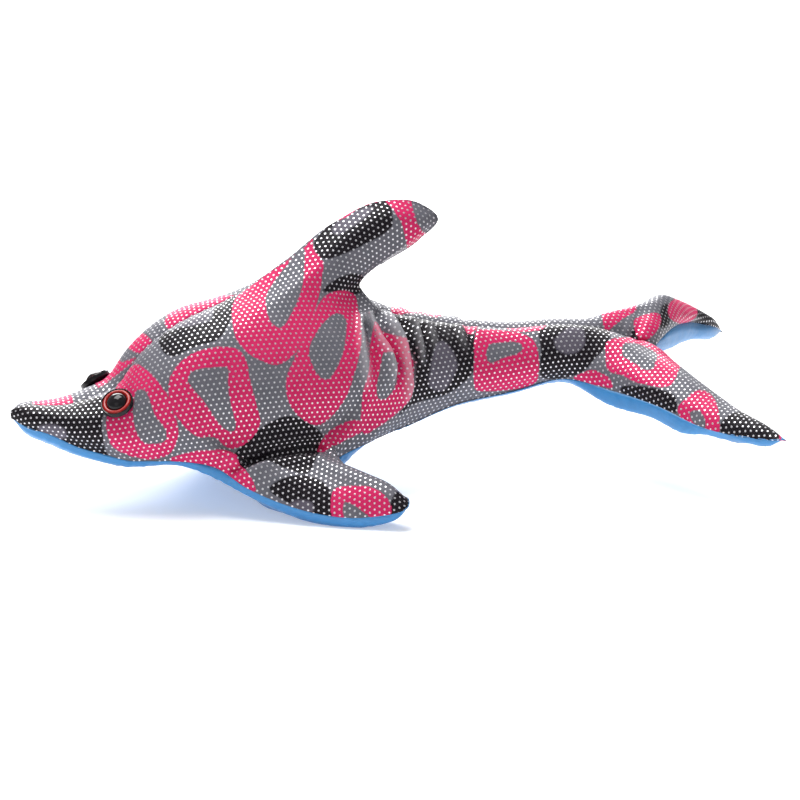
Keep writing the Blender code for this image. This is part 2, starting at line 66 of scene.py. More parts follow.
body = dict(
    bend=13.0, bendStart=-20.0, bendEnd=30.0,
    # s, centre seam z, half width, z of the widest line, side seam w and z, keel z
    stations=[
        (-161.0, 40.8, 0.0, 39.4, 0.0, 37.0, 37.0), (-156.5, 42.8, 7.8, 38.6, 6.8, 35.0, 31.8),
        (-148.0, 42.0, 11.2, 37.2, 9.8, 31.8, 27.8), (-138.5, 42.0, 15.4, 35.6, 13.6, 27.0, 23.0),
        (-129.0, 44.4, 19.4, 35.0, 17.2, 24.0, 20.0), (-119.5, 47.5, 23.4, 36.0, 21.4, 21.6, 17.8),
        (-111.0, 58.6, 26.6, 41.0, 25.0, 21.6, 18.2), (-101.0, 67.2, 29.8, 45.0, 28.2, 21.4, 18.8),
        (-89.0, 73.6, 32.4, 46.5, 31.0, 20.4, 16.6), (-80.0, 77.2, 33.6, 46.5, 31.6, 18.0, 9.6),
        (-73.0, 80.2, 34.4, 46.5, 32.0, 14.0, 3.0), (-65.0, 81.4, 35.0, 46.5, 32.0, 14.0, -2.2),
        (-52.0, 82.0, 35.4, 46.5, 32.0, 14.0, -2.0), (-42.0, 81.8, 34.8, 46.8, 32.0, 17.0, 0.0),
        (-30.0, 80.5, 33.6, 47.5, 30.5, 20.0, 17.0), (-14.0, 74.0, 29.6, 48.5, 25.5, 23.6, 21.6),
        (2.0, 67.0, 24.2, 47.5, 20.0, 26.8, 24.9), (22.0, 63.2, 19.2, 47.5, 15.5, 32.4, 30.8),
        (45.0, 61.0, 16.0, 49.0, 12.8, 36.4, 34.8), (68.0, 62.2, 15.4, 51.5, 12.4, 41.4, 39.6),
        (82.0, 61.4, 15.4, 52.0, 13.0, 42.0, 40.0)],
    # stations that the guide columns cross
    columns=[-161.0, -156.5, -148.0, -138.5, -129.0, -119.5, -111.0, -101.0, -89.0, -75.0, -65.0, -56.0,
             -49.0, -43.0, -38.0, -33.5, -29.0, -23.5, -14.0, 2.0, 22.0, 45.0, 66.0],
    # guide rows from centre seam to side seam: half widths, seam widths, share of the rise, share of the fall
    rows=[(0.0, 0.0, 1.0, 0.0), (0.42, 0.0, 0.99, 0.0), (0.70, 0.0, 0.81, 0.0), (0.92, 0.0, 0.45, 0.0),
          (1.0, 0.0, 0.0, 0.0), (0.56, 0.5, 0.0, 0.42), (0.3, 0.7, 0.0, 0.75), (0.0, 1.0, 0.0, 1.0)],
    armpit=(18, (-22.0, 29.6, 22.6)),
    # how high the belly panel's first row lies between keel and side seam, by column: flat behind the flippers
    bellyRow=([0, 2, 7, 17, 18, 19, 22], [0.34, 0.45, 0.55, 0.55, 0.85, 0.92, 0.92]),
    # size of the meshes, finer between two columns; rounds of easing on fin, fin root, flipper and everywhere
    step=1.6, fineStep=0.7, fineFrom=15, fineTo=19,
    finRounds=50, rootRounds=260, flipperRounds=40, rounds=14,
    fabric=0.3,                                     # thickness of the fabric's mesh
)

dorsalFin = dict(
    firstColumn=9,
    # s and z of the edge; s, half thickness and z where it swells; s, w and z of the root
    columns=[(-70.0, 81.6, -69.2, 7.0, 78.6, -75.0, 21.0, 74.0),
             (-49.0, 94.0, -45.5, 8.2, 88.0, -65.0, 17.5, 77.5),
             (-29.0, 107.6, -25.5, 8.2, 101.5, -57.5, 16.0, 79.0),
             (-9.0, 115.4, -8.0, 8.0, 108.8, -52.0, 15.0, 79.5),
             (8.0, 113.6, 4.5, 6.8, 109.2, -48.0, 14.5, 79.5),
             (15.6, 107.0, 10.2, 5.6, 107.4, -44.5, 14.0, 79.5),
             (8.0, 97.6, 5.2, 5.4, 101.4, -39.5, 13.5, 79.0),
             (-6.0, 89.0, -8.4, 5.6, 92.8, -33.5, 12.5, 78.5),
             (-17.5, 82.6, -19.0, 4.6, 84.2, -26.0, 12.0, 76.0)],
)

flippers = dict(
    firstColumn=8,
    # edge s, w, z; s and w where the top swells, and its rise; root s, w, z
    columns=[(-88.0, 35.4, 20.0, -87.0, 34.6, 1.6, -88.5, 33.6, 28.5),
             (-78.0, 43.6, 13.4, -75.8, 39.6, 4.0, -78.5, 35.4, 23.0),
             (-66.3, 52.4, 8.4, -63.2, 46.6, 5.0, -70.5, 36.6, 24.0),
             (-53.0, 62.0, 5.4, -50.5, 55.6, 5.4, -64.0, 37.2, 25.2),
             (-37.5, 71.0, 5.2, -38.0, 64.4, 5.4, -59.0, 37.0, 25.4),
             (-20.6, 75.6, 9.6, -27.4, 70.0, 5.4, -55.0, 36.6, 25.4),
             (-18.8, 70.4, 11.2, -26.4, 66.6, 4.8, -51.5, 36.2, 25.4),
             (-28.0, 58.0, 10.0, -32.0, 57.2, 3.4, -48.0, 35.8, 25.4),
             (-34.4, 46.4, 13.6, -38.0, 46.0, 3.0, -44.5, 35.2, 25.6),
             (-38.0, 37.6, 18.0, -39.4, 36.6, 1.2, -39.5, 34.6, 26.4)],
    underShare=0.42, underDrop=6.5, fullReach=24.0, underRise=4.0,
)

flukes = dict(
    middle=[(82.0, 61.0), (91.0, 57.6), (99.0, 54.2), (105.0, 51.6)],
    keel=[(82.0, 42.6), (91.0, 45.4), (99.0, 47.2)],
    edge={-1: [(84.0, 25.0, 39.4), (98.0, 40.0, 37.6), (119.0, 60.0, 31.6), (145.6, 75.6, 31.4)],
          1: [(86.0, 20.0, 41.5), (103.0, 35.0, 42.0), (121.0, 58.0, 45.0), (146.6, 75.6, 37.8)]},
    rise={-1: [7.0, 6.4, 5.6, 0.0], 1: [11.5, 15.0, 14.5, 7.0]},
    drop=[5.6, 5.0, 1.6], sag=2.6, tipBulge=1.8,
    # swelling of the near and far underside beside the trailing edge, how far from it, from which columns;
    # then from which columns and how much undersides and tops swell at the tips, and their rounded rim's width
    puff=(2.4, 0.8), puffAt=6.0, puffFrom=(22.5, 24),
    padFrom=(24.4, 25.6), tipPad=(4.2, 1.2),
    liftFrom=(24.4, 25.2), tipLift=dict(left=0.9, right=2.4), tipRim=4.0,
)


def throughKnots(knots, values, at):
    # cubic Hermite curve through the values, its slopes weighted means of the rises on both sides
    knots, values = np.asarray(knots, float), np.asarray(values, float)
    step = np.diff(knots)
    rise = np.diff(values, axis=0) / step[:, None]
    share = (step[1:] / (step[1:] + step[:-1]))[:, None]
    inner = rise[:-1] * share + rise[1:] * (1 - share)
    slope = np.concatenate([[1.5 * rise[0] - 0.5 * inner[0]], inner, [1.5 * rise[-1] - 0.5 * inner[-1]]])
    i = np.clip(np.searchsorted(knots, at, side="right") - 1, 0, len(knots) - 2)
    t = ((at - knots[i]) / step[i])[:, None]
    h = step[i][:, None]
    return (values[i] * (2 * t**3 - 3 * t**2 + 1) + slope[i] * h * (t**3 - 2 * t**2 + t)
            + values[i + 1] * (3 * t**2 - 2 * t**3) + slope[i + 1] * h * (t**3 - t**2))


def throughPoints(lines, at):
    # the same curve through every line of points at once, its knots a chord apart, taken at point numbers
    step = np.maximum(np.linalg.norm(np.diff(lines, axis=1), axis=2), 0.05)[..., None]
    rise = np.diff(lines, axis=1) / step
    share = step[:, 1:] / (step[:, 1:] + step[:, :-1])
    inner = rise[:, :-1] * share + rise[:, 1:] * (1 - share)
    first = 1.5 * rise[:, :1] - 0.5 * inner[:, :1]
    last = 1.5 * rise[:, -1:] - 0.5 * inner[:, -1:]
    slope = np.concatenate([first, inner, last], axis=1)
    i = np.clip(np.floor(at).astype(int), 0, lines.shape[1] - 2)
    t = (at - i)[None, :, None]
    h = step[:, i]
    return (lines[:, i] * (2 * t**3 - 3 * t**2 + 1) + slope[:, i] * h * (t**3 - 2 * t**2 + t)
            + lines[:, i + 1] * (3 * t**2 - 2 * t**3) + slope[:, i + 1] * h * (t**3 - t**2))


def straightLines(lines, at):
    # the same lines with straight stretches from point to point
    i = np.clip(np.floor(at).astype(int), 0, lines.shape[1] - 2)
    t = (at - i)[None, :, None]
    return lines[:, i] * (1 - t) + lines[:, i + 1] * t


def smoothStep(low, high, x):
    # 0 below low, 1 above high, a smooth S between; the other way round if low is the higher
    t = np.clip((x - low) / (high - low), 0, 1)
    return t * t * (3 - 2 * t)


def flipperLine(share, lift):
    # on each flipper column the point a share of the way in from edge to swell, lifted
    table = np.array(flippers["columns"])
    edge, root = table[:, :3], table[:, 6:9]
    inside = np.column_stack([table[:, 3:5], edge[:, 2]])
    way = share * np.linalg.norm(inside - edge, axis=1) / np.linalg.norm((root - edge)[:, :2], axis=1)
    point = edge + share * (inside - edge)
    point[:, 2] += (root[:, 2] - edge[:, 2]) * np.minimum(0.55, way) + lift
    return point


def trunkSizes(s):
    # the sizes in the station table, read between its rows
    table = np.array(body["stations"])
    return throughKnots(table[:, 0], table[:, 1:], np.asarray(s, float)).T


def trailing(v):
    # how far a fluke's trailing edge leaves the straight line from notch to tip: in, then a little out
    return flukes["tipBulge"] * np.sin(pi * np.clip((v - 0.72) / 0.28, 0, 1)) - flukes["sag"] * np.sin(pi * v)


def sideNet(side):
    # guide points of a side panel: columns along the body, eight rows from centre seam to side seam
    s = np.array(body["columns"])
    top, half, widest, seamW, seamZ, keel = trunkSizes(s)
    wide, inner, rise, fall = (v[:, None] for v in np.array(body["rows"]).T)
    w = wide * half + inner * seamW
    z = widest + rise * (top - widest) + fall * (seamZ - widest)
    net = np.stack([np.broadcast_to(s, w.shape), w, z], -1).transpose(1, 0, 2).copy()
    k = np.arange(8) / 7
    net[0] = np.column_stack([s[0] - 0.6 + (k == 0) * 0.6 + (k == 1), 0 * k, top[0] - k * (top[0] - seamZ[0])])
    fin = np.array(dorsalFin["columns"])
    at = slice(dorsalFin["firstColumn"], dorsalFin["firstColumn"] + len(fin))
    net[at, 0] = np.column_stack([fin[:, 0], 0 * fin[:, 0], fin[:, 1]])
    net[at, 1] = fin[:, [2, 3, 4]]
    net[at, 2] = fin[:, 5:8]
    paddle = np.array(flippers["columns"])
    at = slice(flippers["firstColumn"], flippers["firstColumn"] + len(paddle))
    net[at, 7] = paddle[:, :3]
    net[at, 5] = paddle[:, 6:9]
    net[at, 6] = flipperLine(1.0, paddle[:, 5])
    number, place = body["armpit"]
    net[number, 7] = place
    net[number, 6] = net[number, 5] * 0.4 + np.array(place) * 0.6 + np.array([0, 0.8, 0])
    centre = np.insert(np.array(flukes["middle"]), 1, 0.0, axis=1)[:, None]
    edge = np.array(flukes["edge"][side])[:, None]
    v = k[None, :, None]
    tail = centre + (edge - centre) * v
    swell = np.sqrt(np.maximum(1 - (2 * k - 1)**2, 0)) * (0.25 + 0.75 * np.minimum(1, 2 * k))
    height = np.array(flukes["rise"][side])
    tail[:3, :, 2] += height[:3, None] * swell
    tail[3, :, 2] += height[3] * np.sin(pi * k)
    tail[3, :, 0] += trailing(k)
    return np.concatenate([net, tail])


def bellyNet(side, sideRows):
    # guide points of half the belly panel: the same columns, four rows from side seam to keel
    s = np.array(body["columns"])
    top, half, widest, seamW, seamZ, keel = trunkSizes(s)
    seam = sideRows[:, 7].copy()
    trunk = len(s)
    near = seam[:trunk] * [1, 0.9, 1]
    near[:, 2] = keel + np.interp(np.arange(trunk), *body["bellyRow"]) * (seam[:trunk, 2] - keel)
    under = np.column_stack([s, 0.5 * seamW, keel + 0.04 * (seam[:trunk, 2] - keel)])
    bottom = np.column_stack([s, 0 * s, keel])
    paddle = np.array(flippers["columns"])
    at = slice(flippers["firstColumn"], flippers["firstColumn"] + len(paddle))
    edge, root = paddle[:, :3], paddle[:, 6:9]
    reach = np.linalg.norm(root - edge, axis=1)
    drop = flippers["underDrop"] * np.minimum(1, reach / flippers["fullReach"])
    line = flipperLine(flippers["underShare"], -drop)
    line[:, 2] -= 0.3 * np.maximum(0, line[:, 2] - 4.0)
    floor = trunkSizes(root[:, 0])[5]
    lift = np.where(floor > 0, 1.0, 0.4) * flippers["underRise"]
    near[at] = line
    under[at] = np.column_stack([root[:, 0], 0.8 * root[:, 1], floor + lift])
    near[0] = under[0] = bottom[0] = seam[0]
    rows = np.stack([seam[:trunk], near, under, bottom], axis=1)
    edge = np.array(flukes["edge"][side])
    keelLine = np.insert(np.array(flukes["keel"]), 1, 0.0, axis=1)
    shares = np.array([0.0, 0.08, 0.6, 1.0])[None, :, None]
    tail = edge[:3, None] + (keelLine[:, None] - edge[:3, None]) * shares
    tail[:, 1:3, 2] -= np.array(flukes["drop"])[:, None]
    tip = np.array(flukes["middle"][3])
    share = np.array([0, 1 / 3, 2 / 3, 1])
    end = edge[3] + (np.array([tip[0], 0, tip[1]]) - edge[3]) * share[:, None]
    end[:, 0] += trailing(1 - share)
    return np.concatenate([rows, tail, end[None]])


def stepsBetween(net, axis):
    # point numbers at which a net is sampled, so that no stretch between two is longer than the step
    length = np.linalg.norm(np.diff(net, axis=axis), axis=2)
    most = np.percentile(length, 88, axis=1 - axis)
    place = np.arange(len(most))
    fine = (axis == 0) & (place >= body["fineFrom"]) & (place < body["fineTo"])
    counts = np.maximum(3, np.ceil(most / np.where(fine, body["fineStep"], body["step"]))).astype(int)
    return np.concatenate([i + np.arange(n) / n for i, n in enumerate(counts)] + [[len(counts)]])


def finShare(along, first, count):
    # 1 on the columns of a fin, falling to 0 a column outside it
    return smoothStep(first - 1, first, along) * (1 - smoothStep(first + count - 1, first + count, along))


def surface(net, along, across, fins):
    # lengthwise curves through the net, then curves across them; on a fin the rows in it run straight
    lengthwise = throughPoints(net.transpose(1, 0, 2), along).transpose(1, 0, 2)
    smooth = throughPoints(lengthwise, across)
    straight = straightLines(lengthwise, across)
    for share, low, high in fins:
        inside = ((across >= low) & (across <= high))[None, :, None]
        smooth = smooth + (straight - smooth) * share[:, None, None] * inside
    return smooth


def relaxed(grid, rounds, share=1.0):
    # every inner point moves up to half way to the mean of its four neighbours, round by round
    grid = grid.copy()
    share = np.broadcast_to(share, grid.shape[:2])[1:-1, 1:-1, None]
    for n in range(rounds):
        mean = 0.25 * (grid[:-2, 1:-1] + grid[2:, 1:-1] + grid[1:-1, :-2] + grid[1:-1, 2:])
        grid[1:-1, 1:-1] += 0.5 * share * (mean - grid[1:-1, 1:-1])
    return grid


def bent(points):
    # the straight frame carried along a middle line that turns by the bend between its two ends
    line = np.linspace(-200.0, 200.0, 4001)
    turn = lambda s: -radians(body["bend"]) * smoothStep(body["bendStart"], body["bendEnd"], s)
    half = turn(0.5 * (line[1:] + line[:-1]))
    x = np.concatenate([[0], np.cumsum(np.cos(half) * np.diff(line))]) + line[0]
    y = np.concatenate([[0], np.cumsum(np.sin(half) * np.diff(line))])
    s, w, z = points[..., 0], points[..., 1], points[..., 2]
    a = turn(s)
    x, y = np.interp(s, line, x), np.interp(s, line, y)
    return np.stack([x - w * np.sin(a), y + w * np.cos(a), z], -1) - middle


def normals(grid):
    # unit normals of a grid: its steps along crossed with its steps across
    n = np.cross(np.gradient(grid, axis=0), np.gradient(grid, axis=1))
    return n / np.maximum(np.linalg.norm(n, axis=2, keepdims=True), 1e-9)


def cameraAxes():
    # the camera's view direction, right and up, and its place at its distance from the target
    yaw, tilt = radians(photo["yaw"]), radians(photo["elevation"])
    ahead = np.array([np.sin(yaw) * np.cos(tilt), np.cos(yaw) * np.cos(tilt), -np.sin(tilt)])
    right = np.array([np.cos(yaw), -np.sin(yaw), 0.0])
    place = np.array(photo["target"]) - ahead * photo["distance"] / mm
    return ahead, right, np.cross(right, ahead), place


def photoPlace(points):
    # where points are seen in the photograph, in its pixels
    ahead, right, up, place = cameraAxes()
    away = points - place
    depth = away @ ahead
    half = photo["size"] / 2
    scale = photo["focal"] / depth
    return np.stack([half + scale * (away @ right), half - scale * (away @ up)], -1)


seams = dict(
    valley=1.4, valleyWidth=2.4,                    # depth and width of the groove along a seam
    puff=0.7, puffFrom=9.0, puffWidth=6.0,          # how far the filling rounds the fabric beside it
    pucker=0.30, puckerReach=7.0, puckerStep=5.2,   # small gathers across the thread
    # share of the depth where panels lie back to back, at centre and side seam; on the belly; at the end
    backToBack=(0.2, 0.35), bellyShare=0.5, endShare=0.3,
    # distances over which a seam grows: panel girth, and way to the trailing edge
    girth=(6, 40), bellyGirth=(6, 30), endWay=6, bellyEndWay=3,
)

folds = dict(
    fading=22,                                      # pixels over which a waist fold runs out at its lower end
    tall=12,                                        # a line that falls further than this is a waist fold
    waistFrom=(345, 358),                           # columns of pixels where the waist begins
    highlightFullAt=2.4,                                 # fold height at which the painted highlight on a ridge is at full strength
    facing=(0.05, 0.60),                            # they grow from skin seen edge on to skin seen straight
    farShare=0.45,                                  # their height on the far side
    # ridges and hollows of the waist, in the photograph's pixels: line, height, half width
    ridges=[([(386, 309), (393, 327), (400, 340), (406, 367), (408, 385), (405, 404)], 3.8, 3.4),
            ([(378, 313), (387, 334), (394, 352), (400, 370), (399, 388)], -2.1, 3.0),
            ([(370, 316), (380, 338), (390, 354), (393, 372), (391, 388)], 2.9, 3.2),
            ([(366, 326), (372, 345), (378, 366), (378, 384)], -1.7, 3.4),
            ([(361, 318), (363, 345), (366, 372), (366, 392)], 2.3, 4.6),
            ([(396, 311), (405, 328), (411, 345), (415, 366), (415, 384)], -2.1, 3.0),
            ([(404, 312), (415, 327), (420, 345), (423, 366)], 2.8, 3.2),
            ([(413, 314), (423, 330), (428, 350)], -1.4, 3.0),
            ([(420, 314), (431, 331), (436, 354)], 1.7, 3.6),
            ([(463, 320), (470, 334), (476, 350)], -2.2, 3.0),
            ([(454, 317), (461, 334), (466, 352)], 1.7, 3.6),
            ([(440, 316), (446, 330), (450, 342)], 1.2, 3.8),
            # slight swelling below the fin's foot
            ([(336, 322), (344, 322), (350, 324)], 0.3, 6.0),
            # crease between body and flipper, the body's bulge over it, and tucks at its front
            ([(232, 470), (246, 463), (262, 456), (280, 452), (300, 450), (322, 447)], -2.6, 3.4),
            ([(232, 456), (262, 444), (290, 439), (318, 437)], 1.2, 7.0),
            ([(252, 474), (275, 463), (300, 459), (320, 458)], 1.0, 5.0),
            ([(238, 463), (250, 457), (262, 450)], 0.9, 2.4), ([(243, 472), (256, 468), (270, 462)], 0.8, 2.4)],
)

printed = dict(
    farShift=34.0,                                  # the far side has the same cloth, cut this many pixels on
    # how far over the centre seam, in mm, and from which columns on the far side shows its own print
    seenStrip=(12, 26), flukeFrom=(21.6, 22.4), noPatch=12.0,
    pink=[
        ([118, 385, 125, 372, 135, 366, 141, 366, 155, 378, 165, 392, 171, 402, 172, 412, 177, 422, 178, 436,
          170, 453, 152, 460, 130, 456, 113, 446, 107, 430, 107, 416, 113, 402],
         [137, 390, 147, 393, 155, 415, 166, 430, 164, 441, 144, 442, 135, 427, 133, 408]),
        ([170, 378, 185, 358, 210, 348, 235, 348, 246, 360, 250, 380, 258, 410, 260, 425, 250, 440, 236, 448,
          226, 447, 214, 437, 200, 437, 188, 430, 178, 418, 170, 404],
         [188, 378, 195, 370, 215, 367, 228, 368, 228, 380, 230, 400, 236, 425, 231, 432, 220, 425, 205, 403,
          190, 385]),
        ([305, 246, 312, 236, 314, 250, 323, 262, 322, 277, 318, 300, 306, 333, 298, 348, 290, 358, 277, 365,
          262, 361, 248, 353, 236, 338, 232, 318, 234, 303, 242, 291, 262, 276, 285, 261],
         [305, 249, 304, 277, 299, 297, 289, 318, 280, 328, 270, 321, 266, 306, 268, 293, 286, 266, 299, 250]),
        ([337, 291, 352, 293, 358, 309, 360, 344, 356, 368, 346, 397, 331, 417, 317, 425, 302, 419, 289, 403,
          286, 382, 290, 368, 299, 350, 308, 327, 318, 306, 325, 296],
         [337, 313, 346, 321, 345, 344, 340, 362, 330, 378, 321, 378, 312, 365, 309, 350, 315, 335, 325, 321]),
        ([374, 326, 382, 327, 393, 336, 407, 346, 414, 355, 416, 368, 414, 380, 410, 396, 402, 407, 389, 418,
          375, 428, 364, 434, 361, 425, 362, 400, 366, 375, 370, 350],
         [383, 353, 393, 356, 399, 371, 396, 385, 387, 398, 378, 398, 377, 385, 381, 368]),
        ([322, 439, 337, 426, 357, 420, 362, 430, 342, 441, 322, 452], None),
        ([170, 459, 190, 452, 205, 450, 229, 452, 240, 464, 250, 476, 256, 490, 246, 492, 228, 480, 205, 470,
          176, 464], None),
        ([331, 499, 337, 488, 355, 486, 370, 487, 384, 495, 391, 506, 389, 516, 370, 522, 352, 524, 333, 520],
         [344, 503, 351, 504, 361, 510, 371, 520, 357, 526, 344, 520]),
        ([384, 194, 408, 192, 413, 212, 419, 228, 428, 236, 420, 247, 408, 250, 403, 228, 394, 212], None),
        ([475, 336, 481, 331, 506, 332, 530, 338, 538, 352, 538, 374, 534, 385, 514, 390, 482, 391, 474, 385,
          474, 360],
         [488, 346, 500, 343, 519, 343, 522, 350, 514, 355, 503, 358, 492, 363, 487, 360]),
        ([458, 319, 480, 316, 476, 330, 468, 332], None),
        ([506, 327, 526, 325, 545, 321, 543, 330, 526, 333, 512, 332], None),
        ([606, 344, 613, 340, 624, 339, 639, 336, 654, 349, 677, 364, 678, 372, 671, 385, 660, 388, 650, 386,
          635, 382, 624, 376, 613, 373, 608, 369, 606, 359],
         [624, 344, 637, 345, 649, 350, 657, 356, 655, 363, 653, 369, 644, 370, 637, 365, 624, 357, 622, 352]),
        ([574, 377, 587, 371, 595, 370, 601, 373, 610, 378, 612, 388, 603, 387, 588, 384, 576, 381], None),
        ([678, 408, 686, 400, 693, 394, 701, 392, 710, 396, 716, 405, 719, 415, 720, 423, 718, 433, 700, 428,
          680, 418],
         [690, 414, 698, 411, 703, 415, 706, 422, 703, 428, 694, 425]),
        ([780, 430, 790, 430, 792, 446, 781, 446], None),
        ([335, 212, 347, 205, 356, 206, 350, 214, 338, 219], None),
    ],
    black=[
        [2, 420, 6, 400, 35, 396, 62, 398, 82, 398, 92, 400, 100, 398, 104, 408, 102, 424, 104, 442, 106, 462,
         85, 456, 60, 444, 30, 430],
        [160, 338, 176, 330, 199, 324, 211, 321, 217, 306, 235, 294, 234, 309, 227, 327, 217, 340, 194, 347,
         176, 356, 164, 353],
        [234, 456, 243, 444, 264, 426, 290, 416, 316, 428, 322, 441, 316, 460, 306, 474, 290, 470, 264, 463,
         244, 470, 236, 467],
        [269, 488, 293, 476, 317, 479, 331, 493, 332, 522, 311, 514, 282, 499],
        [392, 500, 398, 492, 420, 494, 420, 510, 395, 518, 389, 512],
        [315, 250, 316, 238, 337, 216, 363, 203, 385, 196, 392, 215, 389, 230, 367, 243, 346, 253, 328, 259,
         318, 257],
        [322, 291, 340, 277, 360, 274, 364, 288, 352, 296, 337, 292],
        [398, 314, 420, 311, 460, 320, 475, 336, 474, 360, 471, 374, 447, 393, 415, 402, 398, 414, 410, 396,
         416, 380, 417, 365, 414, 352, 405, 340, 396, 328],
        [539, 331, 551, 324, 578, 316, 602, 316, 609, 331, 608, 344, 594, 360, 584, 371, 567, 378, 551, 380,
         540, 374, 541, 350],
        [621, 387, 637, 386, 664, 391, 676, 398, 676, 412, 664, 410, 642, 402, 622, 394],
        [720, 431, 727, 419, 749, 412, 776, 427, 780, 446, 755, 444, 728, 436],
    ],
    patch=[
        [38, 427, 50, 424, 64, 428, 66, 438, 54, 440, 42, 434],
        [178, 326, 188, 314, 205, 305, 214, 308, 207, 320, 190, 327],
        [429, 379, 434, 350, 439, 342, 446, 343, 454, 354, 457, 367, 451, 380, 442, 390, 431, 388],
        [556, 338, 570, 328, 583, 331, 584, 345, 575, 353, 562, 353, 555, 346],
        [290, 503, 300, 500, 313, 503, 312, 512, 300, 511],
        [332, 228, 345, 214, 372, 206, 368, 216, 352, 228, 338, 236],
    ],
    # what the photograph shows of the far side, over the centre seam and on the far fluke
    farPink=[
        ([34, 396, 52, 394, 71, 396, 70, 404, 52, 404, 35, 406], None),
        ([97, 378, 117, 357, 123, 363, 134, 356, 126, 366, 114, 378, 99, 388], None),
        ([129, 346, 142, 334, 151, 341, 144, 348, 135, 352], None),
        ([166, 320, 195, 292, 240, 276, 240, 284, 214, 303, 190, 316, 172, 328], None),
        ([284, 254, 300, 234, 306, 240, 290, 256], None),
        ([318, 228, 336, 208, 342, 216, 324, 234], None),
        ([393, 308, 415, 309, 440, 313, 440, 318, 415, 314, 394, 313], None),
        ([602, 316, 613, 306, 632, 300, 636, 310, 622, 320, 608, 328], None),
        ([633, 322, 645, 316, 656, 318, 655, 330, 648, 341, 638, 338], None),
        ([664, 308, 672, 303, 686, 304, 693, 312, 690, 322, 674, 324, 665, 320], None),
    ],
    farBlack=[
        [233, 288, 256, 274, 262, 280, 240, 293],
        [268, 268, 288, 250, 292, 258, 274, 270],
        [631, 334, 640, 320, 648, 322, 648, 338, 640, 344],
        [655, 330, 658, 309, 665, 309, 664, 328],
        [692, 302, 712, 306, 735, 328, 730, 342, 708, 330, 694, 322],
    ],
)


def rounded(outline):
    # a closed curve through the outline's corners, x and y in turn, in four steps from one to the next
    p = np.array(outline, float).reshape(-1, 2)
    a, b, c, d = (np.roll(p, k, axis=0)[:, None] for k in (1, 0, -1, -2))
    t = (np.arange(4) / 4)[None, :, None]
    curve = 0.5 * (2 * b + (c - a) * t + (2 * a - 5 * b + 4 * c - d) * t**2 + (3 * b - a - 3 * c + d) * t**3)
    return curve.reshape(-1, 2)


def lineDistance(points, line, closed=False):
    # distance from each point to the nearest stretch of a line
    a = line if closed else line[:-1]
    b = np.roll(line, -1, axis=0) if closed else line[1:]
    ab = b - a
    ap = points[:, None] - a[None]
    t = np.clip((ap * ab).sum(-1) / np.maximum((ab * ab).sum(-1), 1e-9), 0, 1)
    return np.sqrt(((ap - t[..., None] * ab)**2).sum(-1).min(1))


def outlineField(points, outline, reach=12.0):
    # distance to a rounded outline, negative inside it, no more than the reach
    curve = rounded(outline)
    field = np.full(len(points), reach)
    near = np.all((points > curve.min(0) - reach) & (points < curve.max(0) + reach), axis=1)
    p = points[near]
    a, b = curve, np.roll(curve, -1, axis=0)
    above = (a[:, 1] > p[:, 1:2]) != (b[:, 1] > p[:, 1:2])
    rise = np.where(a[:, 1] == b[:, 1], 1e-9, b[:, 1] - a[:, 1])
    crossing = above & (p[:, :1] < a[:, 0] + (p[:, 1:2] - a[:, 1]) / rise * (b[:, 0] - a[:, 0]))
    sign = np.where(crossing.sum(1) % 2 == 1, -1.0, 1.0)
    field[near] = np.clip(sign * lineDistance(p, curve, closed=True), -reach, reach)
    return field


def ringField(points, rings):
    # nearest of several outlines, each less its hole
    fields = [np.maximum(outlineField(points, outer), -outlineField(points, hole)) if hole
              else outlineField(points, outer) for outer, hole in rings]
    return np.min(fields, axis=0)


def patchField(points, outlines):
    # nearest of several outlines
    return np.min([outlineField(points, outline) for outline in outlines], axis=0)


def arcAcross(grid):
    # for each point of a grid the length of its line across, from its first point, in millimetres
    step = np.linalg.norm(np.diff(grid, axis=1), axis=2)
    return np.concatenate([np.zeros((len(grid), 1)), np.cumsum(step, axis=1)], axis=1)


def arcAlong(line):
    # for each point of a line its length so far, as a column
    return np.concatenate([[0], np.cumsum(np.linalg.norm(np.diff(line, axis=0), axis=1))])[:, None]


def wayToEnd(grid):
    # for each point of a grid the length of its line along, from there to the grid's last row
    return arcAcross(grid[::-1].transpose(1, 0, 2)).T[::-1]


def gathers(position, seed):
    # a wave of uneven length and height along a seam: three sines that drift past each other
    k = 2 * pi / seams["puckerStep"]
    wave = np.sin(k * position + 1.7 * np.sin(0.11 * position + seed))
    wave = wave + 0.6 * np.sin(1.63 * k * position + seed + 2.1 * np.sin(0.07 * position))
    return wave * (0.6 + 0.4 * np.sin(0.19 * position + 2 * seed))


def seamRelief(toSeam, position, seed, depth=1.0):
    # height of the fabric beside a seam: a narrow valley, a soft swelling behind it and gathers across
    valley = -seams["valley"] * depth * np.exp(-(toSeam / seams["valleyWidth"])**1.3)
    swelling = seams["puff"] * np.exp(-((toSeam - seams["puffFrom"]) / seams["puffWidth"])**2)
    ripple = seams["pucker"] * gathers(position, seed) * np.exp(-toSeam / seams["puckerReach"])
    return valley + swelling + ripple * smoothStep(0, 2.5, toSeam)


def foldRelief(pixels):
    # height of the folds: for each line a bell over the distance at which a point is seen from it
    total = np.zeros(len(pixels))
    for line, height, halfWidth in folds["ridges"]:
        line = throughPoints(np.array([line], float), np.linspace(0, len(line) - 1, 24))[0]
        lower = line[-1, 1]
        tall = lower - line[0, 1] > folds["tall"]
        fading = smoothStep(lower + 4, lower - folds["fading"], pixels[:, 1]) if tall else 1.0
        total += height * fading * np.exp(-(lineDistance(pixels, line) / halfWidth)**2)
    return total


